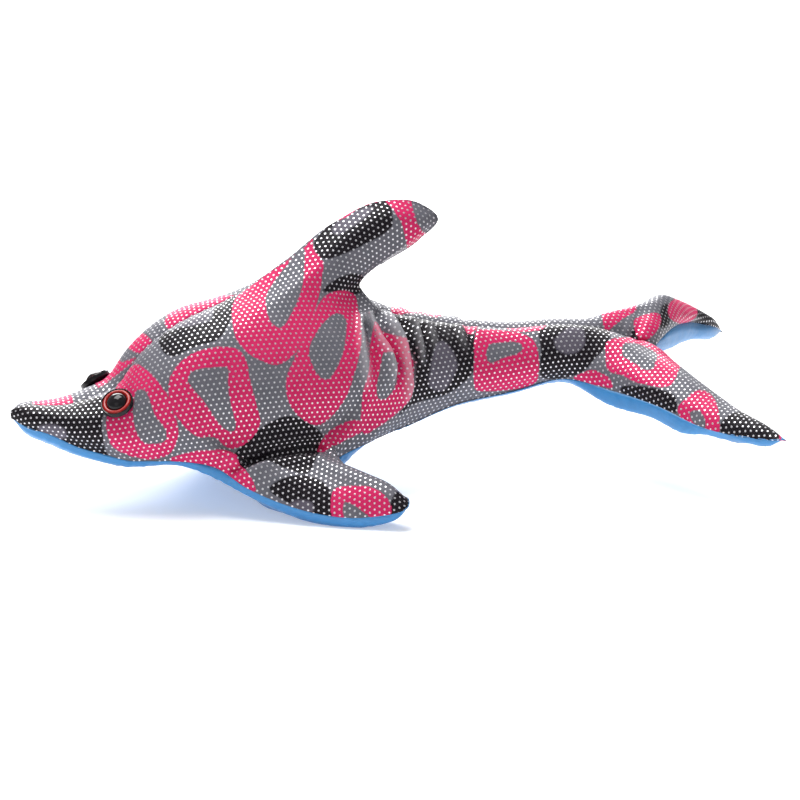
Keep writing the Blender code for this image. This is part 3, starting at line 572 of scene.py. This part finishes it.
def flattened(name, grid, factor=3):
    # the panel laid flat by an unwrap of a coarse copy, in millimetres, then read between its points
    rows = np.unique(np.append(np.arange(0, grid.shape[0], factor), grid.shape[0] - 1))
    cols = np.unique(np.append(np.arange(0, grid.shape[1], factor), grid.shape[1] - 1))
    coarse = grid[np.ix_(rows, cols)]
    piece = gridObject(name, coarse)
    bpy.context.view_layer.objects.active = piece
    bpy.ops.object.mode_set(mode="EDIT")
    bpy.ops.mesh.select_all(action="SELECT")
    bpy.ops.uv.unwrap(method="MINIMUM_STRETCH", margin=0.0, iterations=40)
    bpy.ops.object.mode_set(mode="OBJECT")
    mesh = piece.data
    flat = np.zeros(2 * len(mesh.loops), np.float32)
    mesh.uv_layers.active.data.foreach_get("uv", flat)
    corner = np.zeros(len(mesh.loops), np.int32)
    mesh.loops.foreach_get("vertex_index", corner)
    uv = np.zeros((len(mesh.vertices), 2))
    uv[corner] = flat.reshape(-1, 2)
    bpy.data.objects.remove(piece, do_unlink=True)
    uv = uv.reshape(len(rows), len(cols), 2)
    flank = len(cols) // 2
    a, b = uv[len(rows) // 5, flank], uv[2 * len(rows) // 3, flank]
    turn = np.arctan2(*(b - a)[::-1])
    uv = uv @ np.array([[np.cos(turn), -np.sin(turn)], [np.sin(turn), np.cos(turn)]])
    lengths = lambda net: sum(np.linalg.norm(np.diff(net, axis=k), axis=2).sum() for k in (0, 1))
    uv *= lengths(coarse) / lengths(uv)
    i, j = np.arange(grid.shape[0]), np.arange(grid.shape[1])
    lines = np.stack([[np.interp(i, rows, uv[:, n, c]) for n in range(len(cols))] for c in (0, 1)], -1)
    return np.stack([[np.interp(j, cols, lines[:, n, c]) for n in i] for c in (0, 1)], -1)


def gridObject(name, grid, flip=False):
    # a mesh with a four-sided face between every four neighbours of a grid, points in millimetres
    n, m = grid.shape[:2]
    number = np.arange(n * m).reshape(n, m)
    faces = np.stack([number[:-1, :-1], number[:-1, 1:], number[1:, 1:], number[1:, :-1]], -1).reshape(-1, 4)
    faces = faces[:, ::-1] if flip else faces
    mesh = bpy.data.meshes.new(name)
    mesh.vertices.add(n * m)
    mesh.vertices.foreach_set("co", (grid * mm).astype(np.float32).ravel())
    mesh.loops.add(faces.size)
    mesh.loops.foreach_set("vertex_index", faces.astype(np.int32).ravel())
    mesh.polygons.add(len(faces))
    mesh.polygons.foreach_set("loop_start", np.arange(0, faces.size, 4, dtype=np.int32))
    mesh.update(calc_edges=True)
    mesh.validate()
    mesh.shade_smooth()
    piece = bpy.data.objects.new(name, mesh)
    bpy.context.scene.collection.objects.link(piece)
    return piece


def addUv(piece, uv):
    # every corner of every face takes the flat place of its point
    layer = piece.data.uv_layers.new(name="cloth")
    corner = np.zeros(len(piece.data.loops), np.int32)
    piece.data.loops.foreach_get("vertex_index", corner)
    layer.data.foreach_set("uv", uv.reshape(-1, 2)[corner].astype(np.float32).ravel())


def addField(piece, name, values):
    # one number on every point, which a material reads by its name
    field = piece.data.attributes.new(name, "FLOAT", "POINT")
    field.data.foreach_set("value", values.astype(np.float32).ravel())


class Wire:
    # one value or colour on its way through a material; sums on it add the nodes that work them out
    def __init__(self, material, socket):
        self.material, self.socket = material, socket

    def node(self, kind, out=0, settings=None, **inputs):
        made = self.material.node_tree.nodes.new("ShaderNode" + kind)
        for name, value in (settings or {}).items():
            setattr(made, name, value)
        for name, value in inputs.items():
            socket = made.inputs[int(name[2:]) if name.startswith("in") else name]
            if isinstance(value, Wire):
                self.material.node_tree.links.new(value.socket, socket)
            else:
                socket.default_value = value
        return Wire(self.material, made.outputs[out])

    def sum(self, operation, other=0.0, third=0.0):
        return self.node("Math", settings={"operation": operation}, in0=self, in1=other, in2=third)

    def __add__(self, other): return self.sum("ADD", other)
    def __radd__(self, other): return self.sum("ADD", other)
    def __sub__(self, other): return self.sum("SUBTRACT", other)
    def __rsub__(self, other): return self.node("Math", settings={"operation": "SUBTRACT"}, in0=other, in1=self)
    def __mul__(self, other): return self.sum("MULTIPLY", other)
    def __truediv__(self, other): return self.sum("DIVIDE", other)
    def __pow__(self, other): return self.sum("POWER", other)

    def below(self, edge, soft):
        # 1 where the value is well below the edge, 0 well above it, and a slope as wide as soft between
        low, high = edge - soft / 2, edge + soft / 2
        return self.node("MapRange", settings={"clamp": True}, in0=self, in1=low, in2=high, in3=1.0, in4=0.0)

    def blend(self, one, two):
        # from colour one to colour two, as this mask goes from 0 to 1
        return self.node("Mix", out=2, settings={"data_type": "RGBA"}, in0=self, in6=one, in7=two)


def finish(name, **constants):
    # a new Principled material, its fixed values set on its own sockets, and a wire to start from
    material = bpy.data.materials.new(name)
    material.use_nodes = True
    shader = material.node_tree.nodes["Principled BSDF"]
    for socket, value in constants.items():
        shader.inputs[socket].default_value = value
    return material, Wire(material, None), shader


def feed(material, shader, **wires):
    # the wires plugged into the shader's sockets of the same names
    for socket, wire in wires.items():
        material.node_tree.links.new(wire.socket, shader.inputs[socket.replace("_", " ")])


# silver dots on the flat cloth, in millimetres
foil = dict(pitch=2.25, radius=0.385, soft=0.16)


def printedFabric():
    # stretch jersey: grey ground, black and pink patches, silver dots in offset rows, a fine glitter, and a
    # painted highlight that lightens the waist's fold ridges towards silver
    material, start, shader = finish("printedFabric", **{"Specular IOR Level": 0.08})
    place = start.node("UVMap", settings={"uv_map": "cloth"})
    field = lambda name: start.node("Attribute", out=2, settings={"attribute_name": name})
    drift = start.node("TexNoise", settings={"noise_dimensions": "2D"}, Vector=place, Scale=0.12, Detail=2.0)
    fray = start.node("TexNoise", settings={"noise_dimensions": "2D"}, Vector=place, Scale=1.1, Detail=3.0)
    wobble = (fray - 0.5) * 2.4
    ground = drift.blend((0.105, 0.11, 0.13, 1), (0.15, 0.145, 0.17, 1))
    night = drift.blend((0.003, 0.002, 0.004, 1), (0.008, 0.005, 0.009, 1))
    worn = drift.blend((0.085, 0.075, 0.10, 1), (0.12, 0.11, 0.14, 1))
    rose = drift.blend((0.54, 0.012, 0.095, 1), (0.64, 0.022, 0.13, 1))
    colour = (field("black") + wobble).below(0.0, 1.6).blend(ground, night)
    colour = (field("patch") + wobble).below(0.0, 3.0).blend(colour, worn)
    colour = (field("pink") + wobble).below(0.0, 1.0).blend(colour, rose)
    # silver dots: the nearer of two square-set rows, the second shifted by half a step both ways
    split = start.node("SeparateXYZ", in0=place)
    u = Wire(material, split.socket.node.outputs[0]) / foil["pitch"]
    v = Wire(material, split.socket.node.outputs[1]) / (foil["pitch"] * 0.866)
    across = lambda shift: ((u + shift).sum("FRACT") - 0.5) * foil["pitch"]
    down = lambda shift: ((v * 0.5 + shift).sum("FRACT") - 0.5) * (foil["pitch"] * 1.732)
    distance = lambda shift: (across(shift)**2 + down(shift)**2).sum("SQRT")
    dots = distance(0.0).sum("MINIMUM", distance(0.5)).below(foil["radius"], foil["soft"])
    # glitter: small scattered flecks between the dots
    flecks = start.node("TexNoise", settings={"noise_dimensions": "2D"}, Vector=place, Scale=3.4, Detail=1.0)
    flecks = 1 - flecks.below(0.62, 0.06)
    silver = (0.74, 0.73, 0.77, 1)
    # painted highlight: the waist's fold ridges lightened towards silver, more on the taller ridges
    colour = (field("ridgeHighlight") * 0.26).blend(colour, silver)
    colour = (flecks * 0.06).blend(colour, silver)
    colour = (dots * 0.93).blend(colour, silver)
    rough = 0.46 - dots * 0.14 - flecks * 0.1
    knit = start.node("TexNoise", settings={"noise_dimensions": "2D"}, Vector=place, Scale=2.2, Detail=3.0)
    bump = start.node("Bump", in0=0.35, in1=0.0003, Height=knit * 0.5 + dots * 0.5)
    feed(material, shader, Base_Color=colour, Roughness=rough, Metallic=dots * 0.85 + flecks * 0.1, Normal=bump)
    return material


def blueSatin():
    # smooth satin, drawn into fine lengthwise streaks
    material, start, shader = finish("blueSatin", **{"Sheen Weight": 0.25, "Sheen Roughness": 0.3,
                                                     "Specular IOR Level": 0.5})
    place = start.node("TexCoord", out=3)
    cloud = start.node("TexNoise", Vector=place, Scale=28.0, Detail=3.0)
    stretched = start.node("Mapping", Vector=place, Scale=(60.0, 420.0, 420.0))
    streaks = start.node("TexNoise", Vector=stretched, Scale=1.0, Detail=3.0)
    threads = start.node("TexNoise", Vector=place, Scale=2600.0, Detail=1.0)
    colour = (cloud * 0.5 + streaks * 0.5).below(0.5, 0.5).blend((0.045, 0.26, 0.58, 1), (0.03, 0.19, 0.46, 1))
    bump = start.node("Bump", in0=0.25, in1=0.0006, Height=streaks + threads * 0.15)
    feed(material, shader, Base_Color=colour, Roughness=0.34 + streaks * 0.16, Normal=bump)
    return material


def mouldedPlastic(name, deep, light, roughness, coat, specular=0.35):
    # glossy moulded plastic, very slightly clouded, with the faint waviness of a small moulding
    material, start, shader = finish(name, **{"Specular IOR Level": specular, "Coat Roughness": 0.03})
    place = start.node("TexCoord", out=3)
    cloud = start.node("TexNoise", Vector=place, Scale=240.0, Detail=2.0)
    wave = start.node("TexNoise", Vector=place, Scale=420.0, Detail=1.0)
    bump = start.node("Bump", in0=0.06, in1=0.0002, Height=wave)
    shader.inputs["Coat Weight"].default_value = coat
    feed(material, shader, Base_Color=cloud.blend(deep, light), Roughness=cloud * 0.06 + roughness, Normal=bump)
    return material


def fibreWadding():
    # matt off-white fibre, mottled and lumpy
    material, start, shader = finish("fibreWadding", **{"Sheen Weight": 0.4})
    place = start.node("TexCoord", out=3)
    tufts = start.node("TexNoise", Vector=place, Scale=180.0, Detail=6.0)
    bump = start.node("Bump", in0=0.6, in1=0.001, Height=tufts)
    feed(material, shader, Base_Color=tufts.blend((0.60, 0.58, 0.54, 1), (0.82, 0.80, 0.76, 1)), Normal=bump)
    shader.inputs["Roughness"].default_value = 0.95
    return material


print("skin: surface")
nets = {side: sideNet(side) for side in (-1, 1)}
unders = {side: bellyNet(side, nets[side]) for side in (-1, 1)}
along = stepsBetween(np.concatenate([nets[-1], unders[-1]], axis=1), 0)
across = stepsBetween(nets[-1], 1)
beneath = stepsBetween(unders[-1], 1)
onDorsal = finShare(along, dorsalFin["firstColumn"], len(dorsalFin["columns"]))
onFlipper = finShare(along, flippers["firstColumn"], len(flippers["columns"]))
tops, lows = {}, {}
for side in (-1, 1):
    top = surface(nets[side], along, across, [(onDorsal, 0, 2), (onFlipper, 5, 7)])
    low = surface(unders[side], along, beneath, [(onFlipper, 0, 2)])
    top[0, :, 1] = 0
    top[:, 0, 1] = 0
    low[:, -1, 1] = 0
    low[:, 0] = top[:, -1]
    low[0] = top[0, -1]
    low[-1] = throughPoints(top[-1:, ::-1], np.linspace(0, top.shape[1] - 1, low.shape[1]))[0]
    onFin = onDorsal[:, None] * (1 - smoothStep(2.6, 3.4, across))
    onPaddle = onFlipper[:, None] * smoothStep(4.6, 5.4, across)
    onRoot = onDorsal[:, None] * smoothStep(1.0, 1.6, across) * (1 - smoothStep(3.2, 4.4, across))
    top = relaxed(relaxed(top, body["finRounds"], onFin), body["flipperRounds"], onPaddle)
    top = relaxed(top, body["rootRounds"], onRoot)
    tops[side] = relaxed(top, body["rounds"]) * [1, side, 1]
    lows[side] = low * [1, side, 1]
belly = relaxed(np.concatenate([lows[-1], lows[1][:, -2::-1]], axis=1), body["rounds"])
shapes = {"left": bent(tops[-1]), "right": bent(tops[1]), "belly": bent(belly)}
print("grids", shapes["left"].shape, shapes["belly"].shape)

print("skin: print, laid over the flat cloth as the photograph shows it")
mirrored = bent(tops[1] * [1, -1, 1])
nearPixels, farPixels, mirrorPixels = (photoPlace(grid).reshape(-1, 2)
                                       for grid in (shapes["left"], shapes["right"], mirrored))
seen = 1 - smoothStep(*printed["seenStrip"], arcAcross(shapes["right"]))
own = np.maximum(seen * (1 - onDorsal)[:, None], smoothStep(*printed["flukeFrom"], along)[:, None]).ravel()
fields = {}
for name, points in (("left", nearPixels), ("right", mirrorPixels + [printed["farShift"], 0])):
    fields[name] = dict(pink=ringField(points, printed["pink"]), black=patchField(points, printed["black"]),
                        patch=patchField(points, printed["patch"]))
far = dict(pink=ringField(farPixels, printed["farPink"]), black=patchField(farPixels, printed["farBlack"]),
           patch=printed["noPatch"])
for kind, values in far.items():
    fields["right"][kind] = fields["right"][kind] * (1 - own) + values * own

print("skin: folds, seams and gathers")
outwards = {name: normals(grid) * (1 if name == "right" else -1) for name, grid in shapes.items()}
bellyEdge = {"left": outwards["belly"][:, 0], "right": outwards["belly"][:, -1]}
nearUp = {"left": outwards["left"], "right": -normals(mirrored)}
laid = {}
for seed, name in enumerate(("left", "right")):
    grid, up = shapes[name], outwards[name]
    arc, toEnd = arcAcross(grid), wayToEnd(grid)
    girth = arc[:, -1:]
    other = outwards["right" if name == "left" else "left"]
    depths = []
    for least, edge, beside in zip(seams["backToBack"], (up[:, 0], up[:, -1]), (other[:, 0], bellyEdge[name])):
        flat = smoothStep(-0.6, 0.6, (edge * beside).sum(1))[:, None]
        depths.append(least + (1 - least) * flat)
    room = smoothStep(*seams["girth"], girth)
    relief = seamRelief(arc, arcAlong(grid[:, 0]), 0.3, depths[0]) * room
    relief += seamRelief(girth - arc, arcAlong(grid[:, -1]), 2.1 + seed, depths[1]) * room
    relief *= smoothStep(0, seams["endWay"], toEnd)
    tip = smoothStep(*flukes["liftFrom"], along)[:, None] * np.sqrt(np.clip(toEnd / flukes["tipRim"], 0, 1))
    relief += flukes["tipLift"][name] * tip * smoothStep(0, 5, girth - arc)
    points = nearPixels if name == "left" else mirrorPixels
    fold = foldRelief(points).reshape(relief.shape) * smoothStep(0, 4, girth - arc)
    fold *= smoothStep(*folds["facing"], -nearUp[name] @ cameraAxes()[0])
    fold *= 1.0 if name == "left" else folds["farShare"]
    waist = smoothStep(*folds["waistFrom"], points[:, 0]).reshape(fold.shape)
    # painted highlight on the waist's fold ridges: the fold height, used as a mask that lightens the print
    # towards silver
    fields[name]["ridgeHighlight"] = np.clip(fold / folds["highlightFullAt"], 0, 1) * waist
    laid[name] = grid + up * (relief + fold)[..., None]
grid, up = shapes["belly"], outwards["belly"]
arc, toEnd = arcAcross(grid), wayToEnd(grid)
girth = arc[:, -1:]
relief = seamRelief(arc, arcAlong(grid[:, 0]), 2.1, seams["bellyShare"])
relief += seamRelief(girth - arc, arcAlong(grid[:, -1]), 3.1, seams["bellyShare"])
relief *= smoothStep(*seams["bellyGirth"], girth)
relief += seamRelief(toEnd, arc, 4.0, seams["endShare"])
way = toEnd / flukes["puffAt"]
v = arc / girth
puff = flukes["puff"][0] * smoothStep(0.0, 0.03, v) * smoothStep(0.5, 0.4, v)
puff += flukes["puff"][1] * smoothStep(0.5, 0.6, v) * smoothStep(1.0, 0.93, v)
relief += puff * way * np.exp(1 - way) * smoothStep(*flukes["puffFrom"], along)[:, None]
relief *= smoothStep(0, seams["bellyEndWay"], toEnd)
laid["belly"] = grid + up * relief[..., None]
tip = smoothStep(*flukes["padFrom"], along)[:, None] * np.sqrt(np.clip(toEnd / flukes["tipRim"], 0, 1))
pad = flukes["tipPad"][0] * smoothStep(0, 0.06, v) * smoothStep(0.5, 0.3, v)
pad += flukes["tipPad"][1] * smoothStep(1, 0.94, v) * smoothStep(0.5, 0.7, v)
laid["belly"][..., 2] = np.maximum(laid["belly"][..., 2] - tip * pad, 0.0)
# sewn edges meet on one line
for one, first, two, second in (("left", 0, "right", 0), ("left", -1, "belly", 0), ("right", -1, "belly", -1)):
    line = 0.5 * (laid[one][:, first] + laid[two][:, second])
    laid[one][:, first] = laid[two][:, second] = line
for name, grid in shapes.items():
    laid[name][0], laid[name][-1] = grid[0], grid[-1]

print("skin: pieces")
printedCloth = printedFabric()
pieces = dict(left=("sidePanelLeft", "side_panel_left", "printed_fabric", printedCloth),
              right=("sidePanelRight", "side_panel_right", "printed_fabric", printedCloth),
              belly=("bellyPanel", "belly_panel", "blue_satin", blueSatin()))
for name, (title, node, slot, look) in pieces.items():
    piece = gridObject(title, laid[name], flip=name == "right")
    if name in fields:
        addUv(piece, flattened("flatCloth", laid[name]))
        for field, values in fields[name].items():
            addField(piece, field, values)
    piece.data.materials.append(look)
    wall = piece.modifiers.new("fabric", "SOLIDIFY")
    wall.thickness, wall.offset = body["fabric"] * mm, -1.0
    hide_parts(node)
    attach(piece, "root")

# place in columns and rows of the side panel's net, then the sizes of an eye and the ring in it
eyes = dict(
    column=4.74, row=2.28, lift=0.3, rim=1.0, plate=6.5, plateThick=1.1, pupil=4.2, pupilHeight=3.1, ring=1.2,
    shank=2.0, shankLength=12.0,
)


def turnedPiece(name, profile, frameMatrix, steps=72):
    # a body of revolution: each point of the profile carried round local Z, then put in its place
    r, z = np.array(profile, float).T
    a = 2 * pi * np.arange(steps) / steps
    r, z = r[:, None], np.broadcast_to(z[:, None], (len(r), steps))
    ring = np.stack([r * np.cos(a), r * np.sin(a), z], -1)
    turn = np.array(frameMatrix)
    points = (ring.reshape(-1, 3) @ turn[:3, :3].T + turn[:3, 3]) * mm
    number = np.arange(len(r) * steps).reshape(len(r), steps)
    beside = np.roll(number, -1, axis=1)
    faces = np.stack([number[:-1], beside[:-1], beside[1:], number[1:]], -1).reshape(-1, 4)
    mesh = bpy.data.meshes.new(name)
    mesh.from_pydata(points.tolist(), [], faces.tolist())
    piece = bpy.data.objects.new(name, mesh)
    bpy.context.scene.collection.objects.link(piece)
    closeUp(mesh)
    mesh.shade_smooth()
    mesh.set_sharp_from_angle(angle=radians(50))
    return piece


def closeUp(mesh):
    # points in the same place become one, and all faces look outwards
    shape = bmesh.new()
    shape.from_mesh(mesh)
    bmesh.ops.remove_doubles(shape, verts=shape.verts[:], dist=1e-7)
    bmesh.ops.recalc_face_normals(shape, faces=shape.faces[:])
    shape.to_mesh(mesh)
    shape.free()


def eyePlace(side):
    # on the side panel at the eye's column and row, with local Z along the skin's normal
    near = 0.02
    at = np.array([eyes["column"] - near, eyes["column"], eyes["column"] + near])
    down = np.array([eyes["row"] - near, eyes["row"], eyes["row"] + near])
    patch = bent(surface(nets[side], at, down, []) * [1, side, 1])
    up = np.cross(patch[2, 1] - patch[0, 1], patch[1, 2] - patch[1, 0]) * side
    up /= np.linalg.norm(up)
    level = np.cross([0, 0, 1], up)
    level /= np.linalg.norm(level)
    place = np.eye(4)
    place[:3, 0], place[:3, 1], place[:3, 2], place[:3, 3] = level, np.cross(up, level), up, patch[1, 1]
    return place


print("eyes")
blackGloss = mouldedPlastic("blackPlastic", (0.006, 0.006, 0.008, 1), (0.014, 0.012, 0.014, 1), 0.05, 0.2, 0.15)
redGloss = mouldedPlastic("redPlastic", (0.22, 0.002, 0.002, 1), (0.46, 0.010, 0.006, 1), 0.2, 0.15)
for side, word in ((-1, "Left"), (1, "Right")):
    place = eyePlace(side)
    lift, plate, shank, pupil = (eyes[k] for k in ("lift", "plate", "shank", "pupil"))
    rim = lift + eyes["rim"]
    top = rim + eyes["plateThick"]
    tail = top - eyes["shankLength"]
    a = np.linspace(0, pi / 2, 16)[1:-1]
    dome = list(zip(pupil * np.cos(a), top + eyes["pupilHeight"] * np.sin(a)))
    button = turnedPiece("eyeButton" + word, [
        (0.0, tail), (shank - 0.6, tail), (shank, tail + 1), (shank, lift), (shank + 1.5, lift + 0.3),
        (plate - 0.3, rim), (plate, rim + 0.2), (plate, top + 0.8), (plate - 0.2, top + 1.0),
        (plate - 0.5, top + 0.9), (plate - 0.7, top), (pupil, top), *dome,
        (0.0, top + eyes["pupilHeight"])], place)
    inner, outer = pupil - 0.1, plate - 0.6
    centre, wide = 0.5 * (inner + outer), 0.5 * (outer - inner)
    b = np.linspace(0, pi, 20)
    arch = list(zip(centre + wide * np.cos(b), top + 0.05 + eyes["ring"] * np.sin(b)**0.8))
    ring = turnedPiece("irisRing" + word, arch + [arch[0]], place)
    for piece, node, look, slot in ((button, "eye_button_", blackGloss, "black_plastic"),
                                    (ring, "iris_ring_", redGloss, "red_plastic")):
        piece.data.materials.append(look)
        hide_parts(node + word.lower())
        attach(piece, "root")

clearGloss = mouldedPlastic("clearPlastic", (0.75, 0.75, 0.76, 1), (0.85, 0.85, 0.85, 1), 0.2, 0.3)
for node in ("eye_washer_left", "eye_washer_right"):
    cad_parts[node].material_slots[0].material = clearGloss

# the filling: the skin remeshed as one closed body, eased and drawn in under the fabric
stuffing = dict(voxel=1.6, easing=3, inset=2.8)
parts = [gridObject("stuffing" + name, grid, flip=name == "right") for name, grid in laid.items()]
with bpy.context.temp_override(active_object=parts[0], selected_editable_objects=parts, object=parts[0]):
    bpy.ops.object.join()
rough = parts[0]
voxels = rough.modifiers.new("voxels", "REMESH")
voxels.mode, voxels.voxel_size = "VOXEL", stuffing["voxel"] * mm
ease = rough.modifiers.new("ease", "SMOOTH")
ease.iterations = stuffing["easing"]
inset = rough.modifiers.new("inset", "DISPLACE")
inset.strength, inset.mid_level = -stuffing["inset"] * mm, 0.0
eased = bpy.data.meshes.new_from_object(rough.evaluated_get(bpy.context.evaluated_depsgraph_get()))
bpy.data.objects.remove(rough, do_unlink=True)
filling = bpy.data.objects.new("fibreFilling", eased)
bpy.context.scene.collection.objects.link(filling)
eased.materials.clear()
eased.materials.append(fibreWadding())
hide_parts("filling")
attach(filling, "root")

studio = dict(
    floor=(0.86, 0.86, 0.87, 1.0), glow=0.34, halfSide=6.0,
    world=0.34, target=(0.0, 0.0, 0.05),
    # place, size and power of each light
    lights=dict(overhead=((-0.15, 0.25, 1.2), (0.9, 0.7), 20.0), front=((-0.9, -1.1, 0.7), (0.8, 0.8), 1.5),
                behind=((0.35, 1.5, 0.8), (1.4, 0.7), 30.0)),
)


def softbox(name, place, size, power):
    # a rectangular light that faces the target
    light = bpy.data.lights.new(name, "AREA")
    light.shape = "RECTANGLE"
    light.size, light.size_y = size
    light.energy = power
    lamp = bpy.data.objects.new(name, light)
    lamp.location = place
    lamp.rotation_euler = (Vector(studio["target"]) - Vector(place)).to_track_quat("-Z", "Y").to_euler()
    bpy.context.scene.collection.objects.link(lamp)


print("studio")
floorMesh = bpy.data.meshes.new("floor")
wide = studio["halfSide"]
corners = [(-wide, -wide, 0), (wide, -wide, 0), (wide, wide, 0), (-wide, wide, 0)]
floorMesh.from_pydata(corners, [], [(0, 1, 2, 3)])
floor = bpy.data.objects.new("floor", floorMesh)
bpy.context.scene.collection.objects.link(floor)
material, start, shader = finish("paleFloor", **{
    "Base Color": studio["floor"], "Roughness": 0.7, "Emission Color": (1, 1, 1, 1),
    "Emission Strength": studio["glow"]})
floorMesh.materials.append(material)
floor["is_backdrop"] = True
for name, light in studio["lights"].items():
    softbox(name, *light)
world = bpy.data.worlds.new("studio")
world.use_nodes = True
world.node_tree.nodes["Background"].inputs["Color"].default_value = (1, 1, 1, 1)
world.node_tree.nodes["Background"].inputs["Strength"].default_value = studio["world"]
bpy.context.scene.world = world
bpy.context.scene.view_settings.view_transform = "Standard"

ahead, right, up, place = cameraAxes()
camera = bpy.data.cameras.new("camera")
camera.sensor_width = 36.0
camera.lens = 36.0 * photo["focal"] / photo["size"]
camera.clip_end = 50.0
viewer = bpy.data.objects.new("camera", camera)
viewer.matrix_world = Matrix([[right[k], up[k], -ahead[k], place[k] * mm] for k in range(3)] + [[0, 0, 0, 1]])
bpy.context.scene.collection.objects.link(viewer)
bpy.context.scene.camera = viewer

low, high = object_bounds()
